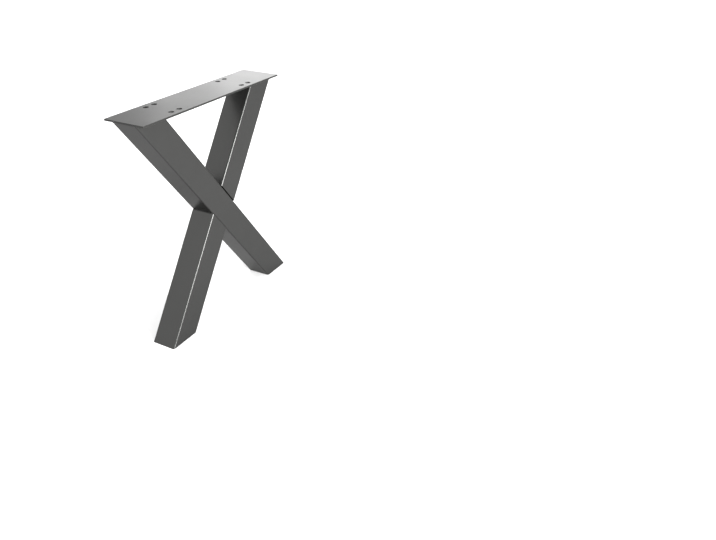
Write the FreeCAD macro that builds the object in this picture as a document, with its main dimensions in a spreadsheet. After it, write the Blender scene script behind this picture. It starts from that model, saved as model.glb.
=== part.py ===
"""An X shaped table leg of square hollow section, welded under a drilled mounting plate.

The plate's long edge runs along X, the X of the leg stands in the XZ plane and is
centred on Y, +Z is up and the floor is at Z = 0. All sizes are in millimetres.
One diagonal is a single tube from plate to floor. The other is two half tubes, mitred
to seat on the flat faces of the first and welded along both their leaning walls. Their
side walls stand over the first tube's rounded corners, so a slit stays open there.
"""

import FreeCAD, Part
import os
import Sketcher

Vector = FreeCAD.Vector

# The driving dimensions: name, value and what it measures.
SIZES = [
    ("leg_height", 670, "floor to the top of the mounting plate"),
    ("foot_span", 564, "outer edge to outer edge of the two feet"),
    ("plate_length", 560, "mounting plate along X"),
    ("plate_width", 130, "mounting plate along Y"),
    ("plate_thickness", 5, "mounting plate"),
    ("plate_edge_break", 0.5, "fillet on the plate's outer edges"),
    ("tube_setback", 0, "from the plate's short edge to the tube below it"),
    ("tube_depth", 80, "tube section, in the plane of the X"),
    ("tube_width", 80, "tube section, along Y"),
    ("tube_wall", 2, "wall of the tube"),
    ("tube_corner", 5, "outer corner radius of the tube"),
    ("least_bore_corner", 0.5, "smallest corner radius that the tube's bore can have"),
    ("hole_diameter", 15, "fixing holes in the plate"),
    ("hole_edge_break", 0.4, "chamfer on the holes' upper edges"),
    ("hole_row_spacing", 86, "between the two rows of holes, along Y"),
    ("hole_pair_spacing", 30, "between the two holes of a pair, along X"),
    ("hole_group_spacing", 290, "between the middles of the pairs, along X"),
    ("foot_plate_thickness", 3, "closing plate in the mouth of each foot"),
    ("foot_plate_clearance", 0.2, "between a closing plate and the tube's bore"),
    ("fit_up_gap", 1.5, "between the upper half tube's mitre and the through tube"),
    ("joint_weld_leg", 2, "fillet of the weld seams at the crossing"),
    ("top_weld_leg", 3, "fillet of the weld seams under the plate"),
]

# Angles and places that follow from the sizes. The lean is measured from the vertical.
# The hub is where the two diagonals' centre lines cross.
REACH = "((Sizes.plate_length + Sizes.foot_span) / 2 - Sizes.tube_setback)"
RISE = "(Sizes.leg_height - Sizes.plate_thickness)"
LEAN = f"(acos(Sizes.tube_depth / hypot({REACH}; {RISE})) - atan2({RISE}; {REACH}))"
END_LENGTH = f"(Sizes.tube_depth / cos({LEAN}))"
HUB_HEIGHT = f"((Sizes.foot_span - {END_LENGTH}) / 2 / tan({LEAN}))"
ABOVE_HUB = f"({RISE} - {HUB_HEIGHT})"
TOP_CENTRE = f"((Sizes.plate_length - {END_LENGTH}) / 2 - Sizes.tube_setback)"

HALF_DEPTH = "(Sizes.tube_depth / 2)"

# Where a half tube's leaning walls land on the through tube, measured along it from the
# hub, each with the way along it that is open and the way to its weld's root.
INNER_WALL = (f"({HALF_DEPTH} / tan({LEAN}))", "+", "-")
OUTER_WALL = (f"(-{HALF_DEPTH} * tan({LEAN}))", "-", "+")

# The bore's corners follow the outer ones, a wall further in.
BORE_CORNER = "max(Sizes.tube_corner - Sizes.tube_wall; Sizes.least_bore_corner)"

# A saw cut runs this far past the tube, and a weld root this far into its wall, which
# is a little less than the wall so that no metal shows inside the bore.
SAW_MARGIN = "Sizes.tube_depth"
ROOT_SHARE = 0.9
WELD_ROOT = f"({ROOT_SHARE} * Sizes.tube_wall)"

SAME_LEVEL = 0.001

ABOUT_Y = Vector(0, 1, 0)
ABOUT_Z = Vector(0, 0, 1)


def build_sheet(document):
    """Write the driving dimensions into the sheet, one row each."""
    sheet = document.addObject("Spreadsheet::Sheet", "Sizes")
    for row, (name, value, meaning) in enumerate(SIZES, start=1):
        sheet.set(f"A{row}", name)
        sheet.set(f"B{row}", str(value))
        sheet.set(f"C{row}", meaning)
        sheet.setAlias(f"B{row}", name)
    document.recompute()
    return sheet


def value_of(owner, expression):
    """The number that an expression on the sheet gives now."""
    result = owner.evalExpression(expression)
    return float(getattr(result, "Value", result))


def new_body(document, label, base, angle, axis=ABOUT_Y):
    """A body whose origin and turn follow the sizes; base is three expressions."""
    body = document.addObject("PartDesign::Body", label)
    body.Label = label
    body.Placement = FreeCAD.Placement(Vector(), FreeCAD.Rotation(axis, 1))
    for name, expression in zip("xyz", base):
        body.setExpression(f"Placement.Base.{name}", expression)
    body.setExpression("Placement.Rotation.Angle", angle)
    return body


def new_sketch(body, name, plane_role, offset=None):
    """A sketch on one of the body's own origin planes, lifted off it by an expression."""
    sketch = body.newObject("Sketcher::SketchObject", name)
    plane = next(item for item in body.Origin.OriginFeatures if item.Role == plane_role)
    sketch.AttachmentSupport = [(plane, "")]
    sketch.MapMode = "FlatFace"
    if offset:
        sketch.setExpression("AttachmentOffset.Base.z", offset)
    return sketch


def bind(sketch, constraint, name, expression):
    """Add a named constraint whose value follows the sheet."""
    sketch.addConstraint(constraint)
    sketch.renameConstraint(sketch.ConstraintCount - 1, name)
    sketch.setExpression(f"Constraints.{name}", expression)


def draw_outline(sketch, name, corners):
    """A closed outline of straight lines; each corner is a pair of expressions."""
    places = [Vector(value_of(sketch, x), value_of(sketch, y), 0) for x, y in corners]
    first = sketch.GeometryCount
    count = len(corners)
    for index, place in enumerate(places):
        sketch.addGeometry(Part.LineSegment(place, places[(index + 1) % count]))
    for index, (x, y) in enumerate(corners):
        line = first + index
        following = first + (index + 1) % count
        sketch.addConstraint(Sketcher.Constraint("Coincident", line, 2, following, 1))
        across = Sketcher.Constraint("DistanceX", -1, 1, line, 1, places[index].x)
        bind(sketch, across, f"{name}_{index}_across", x)
        along = Sketcher.Constraint("DistanceY", -1, 1, line, 1, places[index].y)
        bind(sketch, along, f"{name}_{index}_along", y)


def draw_rectangle(sketch, name, low, high):
    """A rectangle between two corners, each a pair of expressions."""
    draw_outline(sketch, name, [low, (high[0], low[1]), high, (low[0], high[1])])


def draw_rounded_section(sketch, name, depth, width, corner):
    """A rectangle with rounded corners, centred on the sketch's origin."""
    half_depth = value_of(sketch, depth) / 2
    half_width = value_of(sketch, width) / 2
    radius = value_of(sketch, corner)
    first = sketch.GeometryCount
    centres = [
        Vector(side * (half_depth - radius), end * (half_width - radius), 0)
        for side, end in ((-1, -1), (1, -1), (1, 1), (-1, 1))
    ]
    outward = [Vector(*way) * radius for way in ((0, -1), (1, 0), (0, 1), (-1, 0))]
    for index, centre in enumerate(centres):
        following = centres[(index + 1) % 4]
        sketch.addGeometry(Part.LineSegment(centre + outward[index], following + outward[index]))
    for index, centre in enumerate(centres):
        before = outward[index - 1]
        middle = centre + (before + outward[index]).normalize() * radius
        sketch.addGeometry(Part.Arc(centre + before, middle, centre + outward[index]))
    for index in range(4):
        line = first + index
        arc = first + 4 + index
        following_arc = first + 4 + (index + 1) % 4
        sketch.addConstraint(Sketcher.Constraint("Tangent", arc, 2, line, 1))
        sketch.addConstraint(Sketcher.Constraint("Tangent", line, 2, following_arc, 1))
        if index:
            sketch.addConstraint(Sketcher.Constraint("Equal", first + 4, arc))
    sketch.addConstraint(Sketcher.Constraint("Horizontal", first))
    sketch.addConstraint(Sketcher.Constraint("Vertical", first + 1))
    sketch.addConstraint(Sketcher.Constraint("Symmetric", first, 1, first + 2, 1, -1, 1))
    bind(sketch, Sketcher.Constraint("Radius", first + 4, radius), f"{name}_corner", corner)
    across = Sketcher.Constraint("DistanceX", first + 3, 1, first + 1, 1, 2 * half_depth)
    bind(sketch, across, f"{name}_depth", depth)
    along = Sketcher.Constraint("DistanceY", first, 1, first + 2, 1, 2 * half_width)
    bind(sketch, along, f"{name}_width", width)


def pad(body, name, sketch, length, symmetric=False):
    """Pad a sketch along its normal, or half to each side."""
    feature = body.newObject("PartDesign::Pad", name)
    feature.Profile = sketch
    feature.SideType = "Symmetric" if symmetric else "One side"
    feature.setExpression("Length", length)
    return feature


def cut_through(body, name, sketch):
    """Cut a sketch's outlines right through the body, to both sides of the sketch."""
    feature = body.newObject("PartDesign::Pocket", name)
    feature.Profile = sketch
    feature.Type = "ThroughAll"
    feature.SideType = "Symmetric"
    return feature


def level_cut(height, lean):
    """The saw line of a horizontal cut at a height above the hub, in a leaning body."""
    return (f"({height}) / cos({lean})", f"tan({lean})")


def saw_ends(body, low_cut, high_cut):
    """Saw both ends of a blank; a cut is where it crosses the axis, and its slope."""
    sketch = new_sketch(body, "end_cuts", "XZ_Plane")
    for name, (level, slope), way in (("low_end", low_cut, "-"), ("high_end", high_cut, "+")):
        near = f"({level}) - ({slope}) * {SAW_MARGIN}"
        far = f"({level}) + ({slope}) * {SAW_MARGIN}"
        beyond = f"({level}) {way} 2 * {SAW_MARGIN} * (1 + abs({slope}))"
        saw_line = [(f"-{SAW_MARGIN}", near), (SAW_MARGIN, far)]
        draw_outline(sketch, name, saw_line + [(SAW_MARGIN, beyond), (f"-{SAW_MARGIN}", beyond)])
    cut_through(body, "saw_cuts", sketch)


def sawn_bar(document, label, lean, low_cut, high_cut, section):
    """A bar whose axis passes through the hub, of a drawn section and with sawn ends."""
    body = new_body(document, label, ("0", "0", HUB_HEIGHT), lean)
    low_level, low_slope = low_cut
    high_level, high_slope = high_cut
    start = f"({low_level}) - abs({low_slope}) * {SAW_MARGIN}"
    finish = f"({high_level}) + abs({high_slope}) * {SAW_MARGIN}"
    sketch = new_sketch(body, "section", "XY_Plane", start)
    section(sketch)
    pad(body, "blank", sketch, f"({finish}) - ({start})")
    saw_ends(body, low_cut, high_cut)
    return body


def tube_section(sketch):
    """The square hollow section that all three tubes are sawn from."""
    draw_rounded_section(sketch, "outside", "Sizes.tube_depth", "Sizes.tube_width", "Sizes.tube_corner")
    bore_depth = "Sizes.tube_depth - 2 * Sizes.tube_wall"
    bore_width = "Sizes.tube_width - 2 * Sizes.tube_wall"
    draw_rounded_section(sketch, "bore", bore_depth, bore_width, BORE_CORNER)


def closing_section(sketch):
    """The section of a closing plate, a clearance smaller than the tube's bore."""
    taken_off = "2 * (Sizes.tube_wall + Sizes.foot_plate_clearance)"
    depth = f"Sizes.tube_depth - {taken_off}"
    width = f"Sizes.tube_width - {taken_off}"
    corner = f"{BORE_CORNER} - Sizes.foot_plate_clearance"
    draw_rounded_section(sketch, "edge", depth, width, corner)


def through_tube(document):
    """The diagonal in one piece, sawn level under the plate and at the floor."""
    lean = f"-{LEAN}"
    floor_cut = level_cut(f"-{HUB_HEIGHT}", lean)
    plate_cut = level_cut(ABOVE_HUB, lean)
    return sawn_bar(document, "through_tube", lean, floor_cut, plate_cut, tube_section)


def upper_half_tube(document):
    """The other diagonal above the crossing, mitred to the through tube's upper face.

    It goes in last, between the through tube and the plate, so it is cut a little short.
    """
    reach = f"({HALF_DEPTH} + Sizes.fit_up_gap)"
    mitre = (f"{reach} / sin(2 * {LEAN})", f"-1 / tan(2 * {LEAN})")
    plate_cut = level_cut(ABOVE_HUB, LEAN)
    return sawn_bar(document, "upper_half_tube", LEAN, mitre, plate_cut, tube_section)


def lower_half_tube(document):
    """The other diagonal below the crossing, mitred to the through tube's lower face."""
    mitre = (f"-{HALF_DEPTH} / sin(2 * {LEAN})", f"-1 / tan(2 * {LEAN})")
    floor_cut = level_cut(f"-{HUB_HEIGHT}", LEAN)
    return sawn_bar(document, "lower_half_tube", LEAN, floor_cut, mitre, tube_section)


def foot_plate(document, label, lean):
    """A closing plate, flush with the sawn foot and bevelled to the tube's lean."""
    under_side = level_cut(f"-{HUB_HEIGHT}", lean)
    upper_side = level_cut(f"Sizes.foot_plate_thickness - {HUB_HEIGHT}", lean)
    return sawn_bar(document, label, lean, under_side, upper_side, closing_section)


def joint_weld(document, label, angle, wall, gap, through, half):
    """The seam between one leaning wall of a half tube and the through tube.

    It is modelled in the through tube's frame at the hub: x runs out through the face
    that the half tube sits on, and z runs along the through tube. The wall is the place
    along z where it lands on that face and the way that the open side lies. Any gap
    under the half tube's end is filled as far as the weld's root.
    """
    landing, way, back = wall
    body = new_body(document, f"{label}_metal", ("0", "0", HUB_HEIGHT), angle)
    leg = "Sizes.joint_weld_leg"
    height = f"({gap} + {leg} * sin(2 * {LEAN}))"
    out = f"{HALF_DEPTH} + {height}"
    top = f"{landing} + {height} / tan(2 * {LEAN})"
    root = f"{WELD_ROOT} / sin(2 * {LEAN})"
    sketch = new_sketch(body, "section", "XZ_Plane")
    corners = [
        (HALF_DEPTH, f"{landing} {back} {root}"),
        (HALF_DEPTH, f"{landing} {way} {leg}"),
        (out, top),
        (out, f"{top} {back} {root}"),
    ]
    draw_outline(sketch, "fillet", corners)
    pad(body, "run", sketch, "Sizes.tube_width - 2 * Sizes.tube_corner", symmetric=True)
    trimmed = document.addObject("Part::Cut", f"{label}_on_through_tube")
    trimmed.Base = body
    trimmed.Tool = through
    weld = document.addObject("Part::Cut", label)
    weld.Label = label
    weld.Base = trimmed
    weld.Tool = half
    return weld


def top_weld(document, label, side, turn, tube):
    """The fillet under the plate, round three sides of a tube's sawn top.

    It is modelled in the tube's top frame: x runs towards the middle of the leg, and the
    tube leans that way. The outer side is flush with the plate's edge and has no fillet.
    """
    base = (f"{side} * {TOP_CENTRE}", "0", RISE)
    body = new_body(document, f"{label}_metal", base, turn, ABOUT_Z)
    leg = "Sizes.top_weld_leg"
    outer_end = f"Sizes.tube_corner - {END_LENGTH} / 2"
    for level, reach, side_reach in (("top", leg, leg), ("toe", f"{leg} * tan({LEAN})", "0")):
        sketch = new_sketch(body, f"{level}_outline", "XY_Plane", "0" if level == "top" else f"-{leg}")
        inner_end = f"{END_LENGTH} / 2 + {reach}"
        edge = f"(Sizes.tube_width / 2 + {side_reach})"
        draw_rectangle(sketch, level, (outer_end, f"-{edge}"), (inner_end, edge))
    upper, lower = [item for item in body.Group if item.isDerivedFrom("Sketcher::SketchObject")]
    loft = body.newObject("PartDesign::AdditiveLoft", "bead")
    loft.Profile = upper
    loft.Sections = [lower]
    loft.Ruled = True

    sketch = new_sketch(body, "tube_room", "XZ_Plane")
    reach_in = f"({END_LENGTH} / 2 - {WELD_ROOT} / cos({LEAN}))"
    shift = f"{leg} * tan({LEAN})"
    corners = [
        (f"-{END_LENGTH}", "0"),
        (reach_in, "0"),
        (f"{reach_in} + {shift}", f"-{leg}"),
        (f"-{END_LENGTH}", f"-{leg}"),
    ]
    draw_outline(sketch, "room", corners)
    room = body.newObject("PartDesign::Pocket", "room_for_tube")
    room.Profile = sketch
    room.SideType = "Symmetric"
    room.setExpression("Length", f"Sizes.tube_width - 2 * {WELD_ROOT}")

    weld = document.addObject("Part::Cut", label)
    weld.Label = label
    weld.Base = body
    weld.Tool = tube
    return weld


def mounting_plate(document):
    """The flat bar on top, with a pair of fixing holes near each corner of the tubes."""
    body = new_body(document, "mounting_plate", ("0", "0", RISE), "0")
    sketch = new_sketch(body, "outline", "XY_Plane")
    length, width = "(Sizes.plate_length / 2)", "(Sizes.plate_width / 2)"
    draw_rectangle(sketch, "bar", (f"-{length}", f"-{width}"), (length, width))
    bar = pad(body, "bar", sketch, "Sizes.plate_thickness")
    document.recompute()
    rounded = body.newObject("PartDesign::Fillet", "broken_edges")
    rounded.Base = (bar, [f"Edge{index}" for index in range(1, len(bar.Shape.Edges) + 1)])
    rounded.setExpression("Radius", "Sizes.plate_edge_break")

    sketch = new_sketch(body, "hole_pair", "XY_Plane")
    for name, way in (("outer", "+"), ("inner", "-")):
        across = f"(Sizes.hole_group_spacing {way} Sizes.hole_pair_spacing) / 2"
        along = "Sizes.hole_row_spacing / 2"
        centre = Vector(value_of(sketch, across), value_of(sketch, along), 0)
        radius = value_of(sketch, "Sizes.hole_diameter / 2")
        circle = sketch.addGeometry(Part.Circle(centre, Vector(0, 0, 1), radius))
        at_x = Sketcher.Constraint("DistanceX", -1, 1, circle, 3, centre.x)
        at_y = Sketcher.Constraint("DistanceY", -1, 1, circle, 3, centre.y)
        wide = Sketcher.Constraint("Diameter", circle, 2 * radius)
        bind(sketch, at_x, f"{name}_across", across)
        bind(sketch, at_y, f"{name}_along", along)
        bind(sketch, wide, f"{name}_diameter", "Sizes.hole_diameter")
    holes = cut_through(body, "pair_of_holes", sketch)

    every_pair = body.newObject("PartDesign::MultiTransform", "all_holes")
    every_pair.Originals = [holes]
    mirrors = []
    for name, role in (("other_end", "YZ_Plane"), ("other_row", "XZ_Plane")):
        mirror = body.newObject("PartDesign::Mirrored", name)
        plane = next(item for item in body.Origin.OriginFeatures if item.Role == role)
        mirror.MirrorPlane = (plane, [""])
        mirrors.append(mirror)
    every_pair.Transformations = mirrors
    body.Tip = every_pair
    document.recompute()

    top = every_pair.Shape.BoundBox.ZMax
    rims = [
        f"Edge{index}"
        for index, edge in enumerate(every_pair.Shape.Edges, start=1)
        if edge.isClosed() and not edge.Degenerated and edge.BoundBox.ZMin > top - SAME_LEVEL
    ]
    eased = body.newObject("PartDesign::Chamfer", "eased_holes")
    eased.Base = (every_pair, rims)
    eased.setExpression("Size", "Sizes.hole_edge_break")
    body.Tip = eased
    return body


def check_and_export(document, pieces):
    """Stop on a failed object or shape, then write one STEP file for each piece."""
    for item in document.Objects:
        if {"Invalid", "Error"} & set(item.State):
            raise RuntimeError(f"{item.Label} failed to recompute: {item.State}")
    for piece in pieces:
        shape = piece.Shape
        if shape.isNull() or not shape.isValid() or not shape.Solids:
            raise RuntimeError(f"{piece.Label} has no valid solid")
    os.makedirs("parts", exist_ok=True)
    for piece in pieces:
        piece.Shape.exportStep(f"parts/{piece.Label}.step")
        print(f"{piece.Label}: {len(piece.Shape.Solids)} solid, {piece.Shape.Volume / 1000:.2f} cm3")


def main():
    """Build the leg's pieces in the order they are welded, and write them."""
    document = FreeCAD.newDocument("x_table_leg")
    build_sheet(document)
    through = through_tube(document)
    upper = upper_half_tube(document)
    lower = lower_half_tube(document)
    upwards, downwards = f"-{LEAN}", f"180 deg - {LEAN}"
    gap = "Sizes.fit_up_gap"
    pieces = [
        mounting_plate(document),
        through,
        upper,
        lower,
        foot_plate(document, "through_tube_foot_plate", f"-{LEAN}"),
        foot_plate(document, "half_tube_foot_plate", LEAN),
        joint_weld(document, "upper_joint_inner_weld", upwards, INNER_WALL, gap, through, upper),
        joint_weld(document, "upper_joint_outer_weld", upwards, OUTER_WALL, gap, through, upper),
        joint_weld(document, "lower_joint_inner_weld", downwards, INNER_WALL, "0", through, lower),
        joint_weld(document, "lower_joint_outer_weld", downwards, OUTER_WALL, "0", through, lower),
        top_weld(document, "through_tube_top_weld", "-1", "0", through),
        top_weld(document, "half_tube_top_weld", "1", "180", upper),
    ]
    document.recompute()
    check_and_export(document, pieces)


main()
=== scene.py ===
"""The X shaped table leg in its satin dark grey coat, on a pale studio floor.

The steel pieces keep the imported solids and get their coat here. The weld seams, which
the solids give as plain fillets, are laid again as rippled beads. Lengths are in metres
in the part's own frame: +X along the mounting plate, +Z up, the floor at zero.
"""

import logging
import math
import random
from dataclasses import dataclass, field
from enum import Enum
from itertools import product

import bmesh
import bpy
from mathutils import Matrix, Vector


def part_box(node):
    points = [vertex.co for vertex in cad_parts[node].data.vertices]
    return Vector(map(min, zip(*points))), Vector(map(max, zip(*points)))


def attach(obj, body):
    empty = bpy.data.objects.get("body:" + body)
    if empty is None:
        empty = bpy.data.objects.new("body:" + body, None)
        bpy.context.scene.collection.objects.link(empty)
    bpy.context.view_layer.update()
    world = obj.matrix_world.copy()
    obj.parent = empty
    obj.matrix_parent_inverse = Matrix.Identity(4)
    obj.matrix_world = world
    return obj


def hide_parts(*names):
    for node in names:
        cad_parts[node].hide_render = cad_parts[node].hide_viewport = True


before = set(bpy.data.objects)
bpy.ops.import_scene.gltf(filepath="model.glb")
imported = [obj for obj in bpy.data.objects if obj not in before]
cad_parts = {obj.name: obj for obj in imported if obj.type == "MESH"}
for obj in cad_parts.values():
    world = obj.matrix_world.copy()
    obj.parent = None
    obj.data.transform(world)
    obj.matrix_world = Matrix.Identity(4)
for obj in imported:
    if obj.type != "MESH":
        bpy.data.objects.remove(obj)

LOG = logging.getLogger("x_table_leg")

BODY = "root"
MM = 0.001

# How many rays look for an edge, and the turn of the normal, as 1 less its cosine, that
# makes a full edge.
EDGE_SAMPLES = 4
FULL_EDGE = 0.25


class PlateEnd(Enum):
    """The end of the mounting plate that a tube meets; the value is its side along X."""

    NEAR = -1
    FAR = 1


class TubeFace(Enum):
    """The face of the through tube that a half tube sits on."""

    UPPER = "upper"
    LOWER = "lower"


class LeaningWall(Enum):
    """A leaning wall of a half tube: inside the V with the through tube, or outside it."""

    INNER = "inner"
    OUTER = "outer"


# Node trees


class NodeSheet:
    """A node tree with short calls to add and join nodes."""

    def __init__(self, tree: bpy.types.NodeTree) -> None:
        """Start from an empty tree.

        Args:
            tree: the node tree of a material, a world or a group.
        """
        self.tree = tree
        tree.nodes.clear()

    def add(self, kind: str, **settings: object) -> bpy.types.Node:
        """Add a node.

        Args:
            kind: the node's class name.
            settings: attributes by name; a dict named `inputs` sets sockets by name.

        Returns:
            The new node.
        """
        node = self.tree.nodes.new(kind)
        for name, value in settings.items():
            if name == "inputs":
                for socket, number in value.items():
                    node.inputs[socket].default_value = number
            else:
                setattr(node, name, value)
        return node

    def join(self, source: bpy.types.NodeSocket, target: bpy.types.NodeSocket) -> None:
        """Link an output to an input."""
        self.tree.links.new(source, target)

    def sum_up(self, operation: str, *terms: object) -> bpy.types.NodeSocket:
        """Add a Math node.

        Args:
            operation: the Math node's operation.
            terms: sockets or numbers, in the node's order.

        Returns:
            The node's output.
        """
        node = self.add("ShaderNodeMath", operation=operation)
        for place, term in enumerate(terms):
            if isinstance(term, bpy.types.NodeSocket):
                self.join(term, node.inputs[place])
            else:
                node.inputs[place].default_value = term
        return node.outputs[0]

    def blend(self, share: bpy.types.NodeSocket, low: float, high: float) -> bpy.types.NodeSocket:
        """Map a share of 0 to 1 onto a range.

        Args:
            share: the socket with the share.
            low: the value at 0.
            high: the value at 1.

        Returns:
            The mapped value.
        """
        node = self.add("ShaderNodeMapRange", inputs={"To Min": low, "To Max": high})
        self.join(share, node.inputs["Value"])
        return node.outputs["Result"]


def new_group(name: str, inputs: dict[str, float], outputs: list[str]) -> NodeSheet:
    """Make an empty shader node group with number sockets.

    Args:
        name: the group's name.
        inputs: each input's name and first value.
        outputs: the outputs' names.

    Returns:
        A sheet on the group's tree, with its Group Input and Group Output nodes.
    """
    tree = bpy.data.node_groups.new(name, "ShaderNodeTree")
    for label, value in inputs.items():
        socket = tree.interface.new_socket(label, in_out="INPUT", socket_type="NodeSocketFloat")
        socket.default_value = value
    for label in outputs:
        tree.interface.new_socket(label, in_out="OUTPUT", socket_type="NodeSocketFloat")
    sheet = NodeSheet(tree)
    sheet.add("NodeGroupInput", name="given")
    sheet.add("NodeGroupOutput", name="result")
    return sheet


def sprayed_skin_group() -> bpy.types.NodeTree:
    """The skin of a sprayed coat: fine dimples, grit, and a faint mottle.

    Returns:
        A group with the height of the dimples and a mottle mask of 0 to 1.
    """
    inputs = {
        "Dimple Scale": 900.0,
        "Grit Scale": 3200.0,
        "Grit Share": 0.25,
        "Mottle Scale": 14.0,
    }
    details = {"Dimple": 1.0, "Grit": 0.0, "Mottle": 3.0}
    sheet = new_group("sprayed_skin", inputs, ["Height", "Mottle"])
    given = sheet.tree.nodes["given"]
    result = sheet.tree.nodes["result"]
    place = sheet.add("ShaderNodeTexCoord").outputs["Object"]
    noises = {}
    for name, detail in details.items():
        noise = sheet.add("ShaderNodeTexNoise", inputs={"Detail": detail})
        sheet.join(place, noise.inputs["Vector"])
        sheet.join(given.outputs[f"{name} Scale"], noise.inputs["Scale"])
        noises[name] = noise.outputs["Fac"]
    grit = sheet.sum_up("MULTIPLY", noises["Grit"], given.outputs["Grit Share"])
    sheet.join(sheet.sum_up("ADD", noises["Dimple"], grit), result.inputs["Height"])
    sheet.join(noises["Mottle"], result.inputs["Mottle"])
    return sheet.tree


def thin_edge_group() -> bpy.types.NodeTree:
    """Where a coat runs thin over an outer edge.

    Returns:
        A group with a mask that is 1 on sharp edges, broken up by noise.
    """
    inputs = {"Reach": 1.2 * MM, "Breakup Scale": 120.0, "Amount": 1.0}
    sheet = new_group("thin_edge", inputs, ["Mask"])
    given = sheet.tree.nodes["given"]
    result = sheet.tree.nodes["result"]
    surface = sheet.add("ShaderNodeNewGeometry")
    softened = sheet.add("ShaderNodeBevel", samples=EDGE_SAMPLES)
    sheet.join(given.outputs["Reach"], softened.inputs["Radius"])
    likeness = sheet.add("ShaderNodeVectorMath", operation="DOT_PRODUCT")
    sheet.join(surface.outputs["Normal"], likeness.inputs[0])
    sheet.join(softened.outputs["Normal"], likeness.inputs[1])
    turned = sheet.sum_up("SUBTRACT", 1.0, likeness.outputs["Value"])
    edge = sheet.add("ShaderNodeMapRange", inputs={"From Max": FULL_EDGE})
    sheet.join(turned, edge.inputs["Value"])
    noise = sheet.add("ShaderNodeTexNoise", inputs={"Detail": 2.0})
    sheet.join(sheet.add("ShaderNodeTexCoord").outputs["Object"], noise.inputs["Vector"])
    sheet.join(given.outputs["Breakup Scale"], noise.inputs["Scale"])
    broken = sheet.sum_up("MULTIPLY", edge.outputs["Result"], noise.outputs["Fac"])
    mask = sheet.sum_up("MULTIPLY", broken, given.outputs["Amount"])
    sheet.join(mask, result.inputs["Mask"])
    return sheet.tree


# Finishes


@dataclass(frozen=True)
class SprayedCoat:
    """A satin sprayed coat on steel; `grazing` is how bright it is at a flat angle."""

    name: str
    tone: tuple[float, float, float] = (0.04, 0.04, 0.039)
    thin_tone: tuple[float, float, float] = (0.12, 0.12, 0.117)
    metallic: float = 0.8
    grazing: float = 0.54
    smoothest: float = 0.28
    roughest: float = 0.34
    dimple_scale: float = 900.0
    dimple_depth: float = 0.02 * MM
    mottle: float = 0.06
    edge_amount: float = 0.5

    def material(self, skin: bpy.types.NodeTree, edge: bpy.types.NodeTree) -> bpy.types.Material:
        """Make the coat's material.

        Args:
            skin: the sprayed skin group.
            edge: the thin edge group.

        Returns:
            The material.
        """
        made = bpy.data.materials.new(self.name)
        made.use_nodes = True
        sheet = NodeSheet(made.node_tree)
        texture = sheet.add("ShaderNodeGroup", node_tree=skin)
        texture.inputs["Dimple Scale"].default_value = self.dimple_scale
        rim = sheet.add("ShaderNodeGroup", node_tree=edge)
        rim.inputs["Amount"].default_value = self.edge_amount

        shade = sheet.blend(texture.outputs["Mottle"], 1.0 - self.mottle, 1.0 + self.mottle)
        tone = sheet.add("ShaderNodeVectorMath", operation="SCALE", inputs={0: self.tone})
        sheet.join(shade, tone.inputs["Scale"])
        colour = sheet.add("ShaderNodeMix", data_type="RGBA")
        colour.inputs["B"].default_value = (*self.thin_tone, 1.0)
        sheet.join(rim.outputs["Mask"], colour.inputs["Factor"])
        sheet.join(tone.outputs["Vector"], colour.inputs["A"])

        bump = sheet.add("ShaderNodeBump", inputs={"Distance": self.dimple_depth})
        sheet.join(texture.outputs["Height"], bump.inputs["Height"])
        coat = sheet.add("ShaderNodeBsdfPrincipled", inputs={"Metallic": self.metallic})
        coat.inputs["Specular Tint"].default_value = (self.grazing, self.grazing, self.grazing, 1.0)
        sheet.join(colour.outputs["Result"], coat.inputs["Base Color"])
        roughness = sheet.blend(texture.outputs["Mottle"], self.smoothest, self.roughest)
        sheet.join(roughness, coat.inputs["Roughness"])
        sheet.join(bump.outputs["Normal"], coat.inputs["Normal"])
        sheet.join(coat.outputs["BSDF"], sheet.add("ShaderNodeOutputMaterial").inputs["Surface"])
        return made


@dataclass(frozen=True)
class PaleSweep:
    """The matt pale floor of the studio."""

    name: str = "pale_sweep"
    tone: tuple[float, float, float] = (0.62, 0.62, 0.62)
    roughness: float = 0.9
    cloud: float = 0.01
    cloud_scale: float = 1.5
    cloud_detail: float = 2.0

    def material(self) -> bpy.types.Material:
        """Make the floor's material, with a faint cloud in its tone.

        Returns:
            The material.
        """
        made = bpy.data.materials.new(self.name)
        made.use_nodes = True
        sheet = NodeSheet(made.node_tree)
        noise = {"Scale": self.cloud_scale, "Detail": self.cloud_detail}
        cloud = sheet.add("ShaderNodeTexNoise", inputs=noise)
        sheet.join(sheet.add("ShaderNodeTexCoord").outputs["Object"], cloud.inputs["Vector"])
        tone = sheet.add("ShaderNodeVectorMath", operation="SCALE", inputs={0: self.tone})
        shade = sheet.blend(cloud.outputs["Fac"], 1.0 - self.cloud, 1.0 + self.cloud)
        sheet.join(shade, tone.inputs["Scale"])
        cloth = sheet.add("ShaderNodeBsdfPrincipled", inputs={"Roughness": self.roughness})
        sheet.join(tone.outputs["Vector"], cloth.inputs["Base Color"])
        sheet.join(cloth.outputs["BSDF"], sheet.add("ShaderNodeOutputMaterial").inputs["Surface"])
        return made


class Finishes:
    """Every finish of the leg, made once from the shared node groups."""

    def __init__(self) -> None:
        """Make the node groups and the coats that use them."""
        skin = sprayed_skin_group()
        edge = thin_edge_group()
        steel = SprayedCoat("satin_grey_coat")
        weld = SprayedCoat("satin_grey_coat_on_weld", roughest=0.5, mottle=0.1, edge_amount=0.2)
        self.steel = steel.material(skin, edge)
        self.weld = weld.material(skin, edge)


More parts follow.
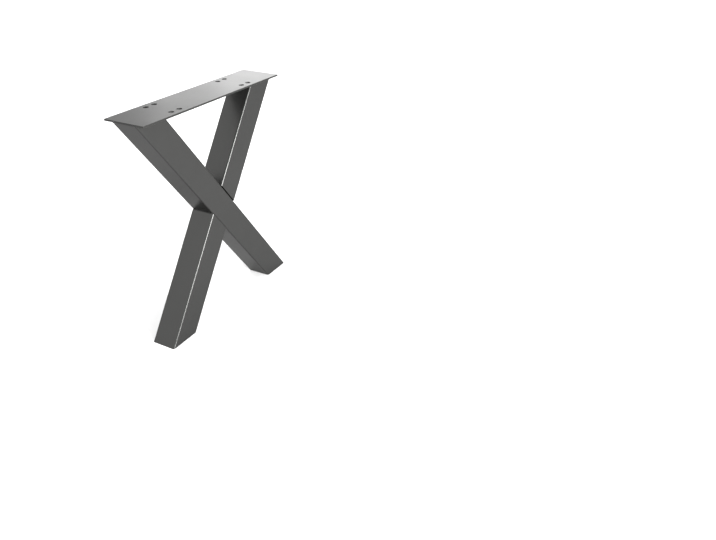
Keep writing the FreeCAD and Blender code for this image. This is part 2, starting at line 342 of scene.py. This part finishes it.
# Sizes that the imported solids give


@dataclass(frozen=True)
class LegPlan:
    """The leg's sizes and lean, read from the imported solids' boxes."""

    plate_low: Vector
    plate_high: Vector
    foot_reach: float
    tube_depth: float
    tube_corner: float = 5 * MM
    tube_wall: float = 2 * MM

    @classmethod
    def from_frame(cls) -> "LegPlan":
        """Read the plan from the plate and the through tube.

        Returns:
            The plan.
        """
        low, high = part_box("mounting_plate")
        tube_low, tube_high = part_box("through_tube")
        return cls(low, high, tube_high.x, tube_high.y - tube_low.y)

    @property
    def under_plate(self) -> float:
        """Height of the plate's underside, where the tubes' upper ends are."""
        return self.plate_low.z

    @property
    def lean(self) -> float:
        """The tubes' angle from the vertical.

        Returns:
            The angle, in radians.
        """
        reach = self.plate_high.x + self.foot_reach
        diagonal = math.hypot(reach, self.under_plate)
        return math.acos(self.tube_depth / diagonal) - math.atan2(self.under_plate, reach)

    @property
    def sawn_length(self) -> float:
        """Length along X of a tube's level sawn end."""
        return self.tube_depth / math.cos(self.lean)

    @property
    def hub(self) -> Vector:
        """Where the two diagonals' centre lines cross."""
        return Vector((0, 0, (self.foot_reach - self.sawn_length / 2) / math.tan(self.lean)))

    @property
    def top_centre(self) -> float:
        """Distance along X from the middle to the centre of a sawn upper end."""
        return self.plate_high.x - self.sawn_length / 2


# Weld seams


@dataclass
class BeadRoute:
    """The line that a bead is laid along, as places with x ahead, y and z in the section."""

    start: Matrix
    step: float
    places: list[Matrix] = field(default_factory=list)

    def __post_init__(self) -> None:
        """Begin at the start place."""
        self.places.append(self.start)

    def ahead(self, length: float) -> "BeadRoute":
        """Go straight on.

        Args:
            length: how far.

        Returns:
            The route itself, so that calls can follow each other.
        """
        count = max(1, round(length / self.step))
        for _ in range(count):
            self.places.append(self.places[-1] @ Matrix.Translation((length / count, 0, 0)))
        return self

    def round_corner(self, angle: float, radius: float) -> "BeadRoute":
        """Turn about a centre that lies on the side away from y.

        Args:
            angle: how far to turn, in radians.
            radius: from that centre to the route.

        Returns:
            The route itself, so that calls can follow each other.
        """
        count = max(2, round(angle * radius / self.step))
        centre = Matrix.Translation((0, -radius, 0))
        turn = centre @ Matrix.Rotation(-angle / count, 4, "Z") @ centre.inverted()
        for _ in range(count):
            self.places.append(self.places[-1] @ turn)
        return self


@dataclass
class WeldBead:
    """One run of weld metal, with the crescent ripples of its frozen pool."""

    leg: float
    gap: float = 0.0
    root: float = 0.5 * MM
    sunk: float = 0.3 * MM
    pitch: float = 1.9 * MM
    ripple: float = 0.16
    crown: float = 0.16
    drag: float = 0.3
    least_height: float = 0.9
    most_height: float = 1.08
    ends: float = 3 * MM
    least_end: float = 0.3
    facets: int = 6

    def section(self) -> list[Vector]:
        """The run's outline at one place: the face from toe to toe, then the root.

        Returns:
            The corners, with the pool's middle dragged back along the run.
        """
        outline = []
        for index in range(self.facets + 1):
            share = index / self.facets
            swell = 4 * share * (1 - share)
            face = Vector((0, self.leg * (1 - share), (self.gap + self.leg) * share))
            outline.append(face + Vector((-self.drag, self.crown, self.crown)) * self.leg * swell)
        outline[0].z -= self.sunk
        outline[-1].y -= self.sunk
        outline.append(Vector((0, -self.root, self.gap + self.sunk)))
        outline.append(Vector((0, -self.root, -self.sunk)))
        return outline

    def sizes(self, lengths: list[float], hand: random.Random) -> list[float]:
        """How large the section is at each place.

        Args:
            lengths: each place's distance along the run.
            hand: the welder's unevenness.

        Returns:
            A factor for each place, with ripples and rounded ends.
        """
        total = lengths[-1]
        count = math.ceil(total / self.pitch) + 1
        heights = [hand.uniform(self.least_height, self.most_height) for _ in range(count)]
        factors = []
        for length in lengths:
            cycle = length / self.pitch
            bump = abs(math.sin(math.pi * cycle))
            rippled = (1 - self.ripple * (1 - bump)) * heights[int(cycle)]
            to_end = min(length, total - length, self.ends) / self.ends
            round_end = math.sqrt(1 - (1 - to_end) ** 2)
            factors.append(rippled * max(round_end, self.least_end))
        return factors

    def lay(self, mesh: bmesh.types.BMesh, route: BeadRoute, hand: random.Random) -> None:
        """Sweep the section along a route.

        Each step leaves the section that it grew from behind, as a face inside the bead.

        Args:
            mesh: the bmesh that takes the run.
            route: the line it follows.
            hand: the welder's unevenness.
        """
        lengths = [index * route.step for index in range(len(route.places))]
        factors = self.sizes(lengths, hand)
        places = [
            place @ Matrix.Diagonal((1, factor, factor, 1))
            for place, factor in zip(route.places, factors)
        ]
        outline = [mesh.verts.new(places[0] @ corner) for corner in self.section()]
        end = mesh.faces.new(outline)
        for before, after in zip(places, places[1:]):
            grown = bmesh.ops.extrude_face_region(mesh, geom=[end])["geom"]
            corners = [item for item in grown if isinstance(item, bmesh.types.BMVert)]
            end = next(item for item in grown if isinstance(item, bmesh.types.BMFace))
            bmesh.ops.transform(mesh, matrix=after @ before.inverted(), verts=corners)


def finish_seam(
    mesh: bmesh.types.BMesh, node: str, material: bpy.types.Material
) -> bpy.types.Object:
    """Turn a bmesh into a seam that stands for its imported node.

    Args:
        mesh: the shape, in the part's frame; it is freed.
        node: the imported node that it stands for.
        material: its finish.

    Returns:
        The seam.
    """
    name = f"{node}_bead"
    bmesh.ops.recalc_face_normals(mesh, faces=mesh.faces)
    for face in mesh.faces:
        face.smooth = True
    data = bpy.data.meshes.new(name)
    mesh.to_mesh(data)
    mesh.free()
    piece = bpy.data.objects.new(name, data)
    bpy.context.scene.collection.objects.link(piece)
    data.materials.append(material)
    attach(piece, BODY)
    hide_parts(node)
    LOG.info("%s: %d faces, stands for %s", name, len(data.polygons), node)
    return piece


@dataclass
class TopSeam:
    """The weld under the plate, round three sides of a tube's sawn upper end."""

    plan: LegPlan
    end: PlateEnd
    node: str
    seed: int
    leg: float = 3 * MM
    step: float = 0.38 * MM

    def place(self) -> Matrix:
        """Where the seam goes.

        Returns:
            From the tube's top frame, with x towards the leg's middle, to the part's frame.
        """
        turn = 0.0 if self.end is PlateEnd.NEAR else math.pi
        at = Vector((self.end.value * self.plan.top_centre, 0, self.plan.under_plate))
        return Matrix.Translation(at) @ Matrix.Rotation(turn, 4, "Z")

    def route(self) -> BeadRoute:
        """Round the sawn end: along one side, across the inner side and back.

        Returns:
            The route, in the tube's top frame, as if the tube were upright.
        """
        corner = self.plan.tube_corner
        half_width = self.plan.tube_depth / 2
        half_length = self.plan.sawn_length / 2
        side = 2 * (half_length - corner)
        start = Matrix.Translation((corner - half_length, -half_width, 0))
        route = BeadRoute(start @ Matrix.Rotation(math.pi, 4, "X"), self.step)
        route.ahead(side).round_corner(math.pi / 2, corner)
        route.ahead(2 * (half_width - corner)).round_corner(math.pi / 2, corner)
        return route.ahead(side)

    def build(self, material: bpy.types.Material) -> bpy.types.Object:
        """Lay the seam.

        Args:
            material: the coat on it.

        Returns:
            The seam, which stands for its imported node.
        """
        mesh = bmesh.new()
        WeldBead(self.leg).lay(mesh, self.route(), random.Random(self.seed))
        follow_lean = Matrix.Shear("XY", 4, (-math.tan(self.plan.lean), 0))
        bmesh.ops.transform(mesh, matrix=self.place() @ follow_lean, verts=mesh.verts)
        return finish_seam(mesh, self.node, material)


@dataclass
class JointSeam:
    """The weld along one leaning wall of a half tube, on a face of the through tube."""

    plan: LegPlan
    face: TubeFace
    wall: LeaningWall
    seed: int
    leg: float = 2 * MM
    fit_up_gap: float = 1.5 * MM
    root_share: float = 0.9
    close_pitch: float = 1.6 * MM
    gap_pitch: float = 1.8 * MM
    gap_least_end: float = 0.7
    step: float = 0.34 * MM

    @property
    def node(self) -> str:
        """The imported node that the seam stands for."""
        return f"{self.face.value}_joint_{self.wall.value}_weld"

    def place(self) -> Matrix:
        """Where the seam goes.

        Returns:
            From the through tube's frame at the hub, with x out of the face, to the part's.
        """
        lean = self.plan.lean
        turn = -lean if self.face is TubeFace.UPPER else math.pi - lean
        return Matrix.Translation(self.plan.hub) @ Matrix.Rotation(turn, 4, "Y")

    def route(self) -> BeadRoute:
        """Across the face, in the corner below the wall, from flat edge to flat edge.

        Returns:
            The route, with y along the face and z up the leaning wall.
        """
        half_depth = self.plan.tube_depth / 2
        half_run = half_depth - self.plan.tube_corner
        slope = math.tan(self.plan.lean)
        if self.wall is LeaningWall.INNER:
            landing, way = half_depth / slope, 1
        else:
            landing, way = -half_depth * slope, -1
        between = 2 * self.plan.lean
        axes = (0, way, 0), (0, 0, way), (math.sin(between), 0, math.cos(between))
        start = Matrix(axes).transposed().to_4x4()
        start.translation = (half_depth, -way * half_run, landing)
        return BeadRoute(start, self.step).ahead(2 * half_run)

    def bead(self) -> WeldBead:
        """The run of weld metal.

        Returns:
            A bead that reaches under the half tube's wall, and fills the gap there is
            under the upper one.
        """
        slant = math.sin(2 * self.plan.lean)
        root = self.root_share * self.plan.tube_wall / slant
        if self.face is TubeFace.LOWER:
            return WeldBead(self.leg, root=root, pitch=self.close_pitch)
        return WeldBead(
            self.leg,
            gap=self.fit_up_gap / slant,
            root=root,
            pitch=self.gap_pitch,
            least_end=self.gap_least_end,
        )

    def build(self, material: bpy.types.Material) -> bpy.types.Object:
        """Lay the seam.

        Args:
            material: the coat on it.

        Returns:
            The seam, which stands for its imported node.
        """
        mesh = bmesh.new()
        self.bead().lay(mesh, self.route(), random.Random(self.seed))
        bmesh.ops.transform(mesh, matrix=self.place(), verts=mesh.verts)
        return finish_seam(mesh, self.node, material)


# Steel pieces that keep their solids


@dataclass
class CoatedPieces:
    """Packed steel pieces that keep their solids and get the coat."""

    nodes: tuple[str, ...]

    def dress(self, material: bpy.types.Material) -> None:
        """Put the coat on each piece.

        Args:
            material: the coat.
        """
        for node in self.nodes:
            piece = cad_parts[node]
            for slot in piece.material_slots:
                slot.material = material
            LOG.info("%s: packed solid, coated", node)


class MountingPlate(CoatedPieces):
    """The drilled flat bar on top."""

    def __init__(self) -> None:
        """Take the plate's node."""
        super().__init__(("mounting_plate",))


class CrossedTubes(CoatedPieces):
    """The three square tubes of the X."""

    def __init__(self) -> None:
        """Take the tubes' nodes."""
        super().__init__(("through_tube", "upper_half_tube", "lower_half_tube"))


class FootPlates(CoatedPieces):
    """The closing plates in the mouths of the two feet."""

    def __init__(self) -> None:
        """Take the closing plates' nodes."""
        super().__init__(("through_tube_foot_plate", "half_tube_foot_plate"))


# Studio


@dataclass(frozen=True)
class Softbox:
    """A flat rectangular studio light; its heading, elevation and tilt are in degrees."""

    name: str
    heading: float
    elevation: float
    distance: float
    width: float
    height: float
    power: float
    tilt: float = 0.0
    aim: tuple[float, float, float] = (0.0, 0.0, 0.4)

    def hang(self) -> bpy.types.Object:
        """Place the light and point it.

        Returns:
            The light.
        """
        turn = math.radians(self.heading)
        rise = math.radians(self.elevation)
        level = math.cos(rise)
        way = Vector((math.cos(turn) * level, math.sin(turn) * level, math.sin(rise)))
        facing = way.to_track_quat("Z", "Y").to_matrix()
        tilted = Matrix.Rotation(math.radians(self.tilt), 3, "Z")
        lamp = bpy.data.lights.new(self.name, "AREA")
        lamp.shape = "RECTANGLE"
        lamp.size = self.width
        lamp.size_y = self.height
        lamp.energy = self.power
        holder = bpy.data.objects.new(self.name, lamp)
        holder.location = Vector(self.aim) + way * self.distance
        holder.rotation_euler = (facing @ tilted).to_euler()
        holder.visible_camera = False
        bpy.context.scene.collection.objects.link(holder)
        return holder


# The far and end softboxes overlap, and their edges make the plate's soft gradient. The
# key strip makes the thin bright line along a tube's rounded edge.
SOFTBOXES = (
    Softbox(
        "far_softbox", heading=26.2, elevation=18.0, distance=3.0,
        width=2.4, height=1.3, power=27.0,
    ),
    Softbox(
        "end_softbox", heading=16.8, elevation=18.0, distance=3.0,
        width=2.4, height=1.3, power=23.5,
    ),
    Softbox(
        "side_softbox", heading=50.0, elevation=16.0, distance=3.4,
        width=3.0, height=2.0, power=12.0,
    ),
    Softbox(
        "left_softbox", heading=135.0, elevation=30.0, distance=3.0,
        width=2.4, height=2.4, power=9.0,
    ),
    Softbox(
        "key_strip", heading=251.7, elevation=14.9, distance=6.0,
        width=0.8, height=2.6, power=1120.0, tilt=-33.0,
    ),
)


@dataclass
class Studio:
    """The pale floor, the white surround, the softboxes and the camera."""

    floor_half_size: float = 14.0
    surround: tuple[float, float, float, float] = (1.0, 1.0, 1.0, 1.0)
    surround_strength: float = 1.64
    camera_place: tuple[float, float, float] = (-1.3602, -1.23327, 1.17127)
    camera_turn: tuple[float, float, float] = (61.3829, -0.0652, -62.3692)
    camera_lens: float = 32.904
    camera_shift: tuple[float, float] = (-0.0139, -0.03657)
    softboxes: tuple[Softbox, ...] = SOFTBOXES

    def lay_floor(self) -> bpy.types.Object:
        """Lay the floor.

        Returns:
            The floor.
        """
        mesh = bmesh.new()
        bmesh.ops.create_grid(mesh, x_segments=1, y_segments=1, size=self.floor_half_size)
        data = bpy.data.meshes.new("studio_floor")
        mesh.to_mesh(data)
        mesh.free()
        floor = bpy.data.objects.new("studio_floor", data)
        bpy.context.scene.collection.objects.link(floor)
        data.materials.append(PaleSweep().material())
        return floor

    def light(self) -> None:
        """Set the surround and hang the softboxes."""
        scene = bpy.context.scene
        scene.view_settings.view_transform = "Standard"
        scene.world = bpy.data.worlds.new("studio")
        scene.world.use_nodes = True
        sheet = NodeSheet(scene.world.node_tree)
        glow = sheet.add("ShaderNodeBackground")
        glow.inputs["Color"].default_value = self.surround
        glow.inputs["Strength"].default_value = self.surround_strength
        sheet.join(glow.outputs[0], sheet.add("ShaderNodeOutputWorld").inputs["Surface"])
        for softbox in self.softboxes:
            softbox.hang()

    def set_camera(self) -> bpy.types.Object:
        """Put the camera at the photograph's viewing angle.

        Returns:
            The camera.
        """
        lens = bpy.data.cameras.new("studio_camera")
        lens.lens = self.camera_lens
        lens.shift_x, lens.shift_y = self.camera_shift
        camera = bpy.data.objects.new("studio_camera", lens)
        camera.location = self.camera_place
        camera.rotation_euler = [math.radians(turn) for turn in self.camera_turn]
        bpy.context.scene.collection.objects.link(camera)
        bpy.context.scene.camera = camera
        return camera

    def build(self) -> None:
        """Set up the whole studio."""
        self.lay_floor()
        self.light()
        self.set_camera()
        LOG.info("studio: floor, surround, %d lights and camera", len(self.softboxes))


def main() -> None:
    """Build and dress the leg, then set up the studio."""
    logging.basicConfig(level=logging.INFO, format="%(message)s")
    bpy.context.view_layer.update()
    plan = LegPlan.from_frame()
    finishes = Finishes()
    for pieces in (MountingPlate(), CrossedTubes(), FootPlates()):
        pieces.dress(finishes.steel)
    TopSeam(plan, PlateEnd.NEAR, "through_tube_top_weld", seed=1).build(finishes.weld)
    TopSeam(plan, PlateEnd.FAR, "half_tube_top_weld", seed=2).build(finishes.weld)
    for seed, (face, wall) in enumerate(product(TubeFace, LeaningWall), start=3):
        JointSeam(plan, face, wall, seed).build(finishes.weld)
    Studio().build()


if __name__ == "__main__":
    main()
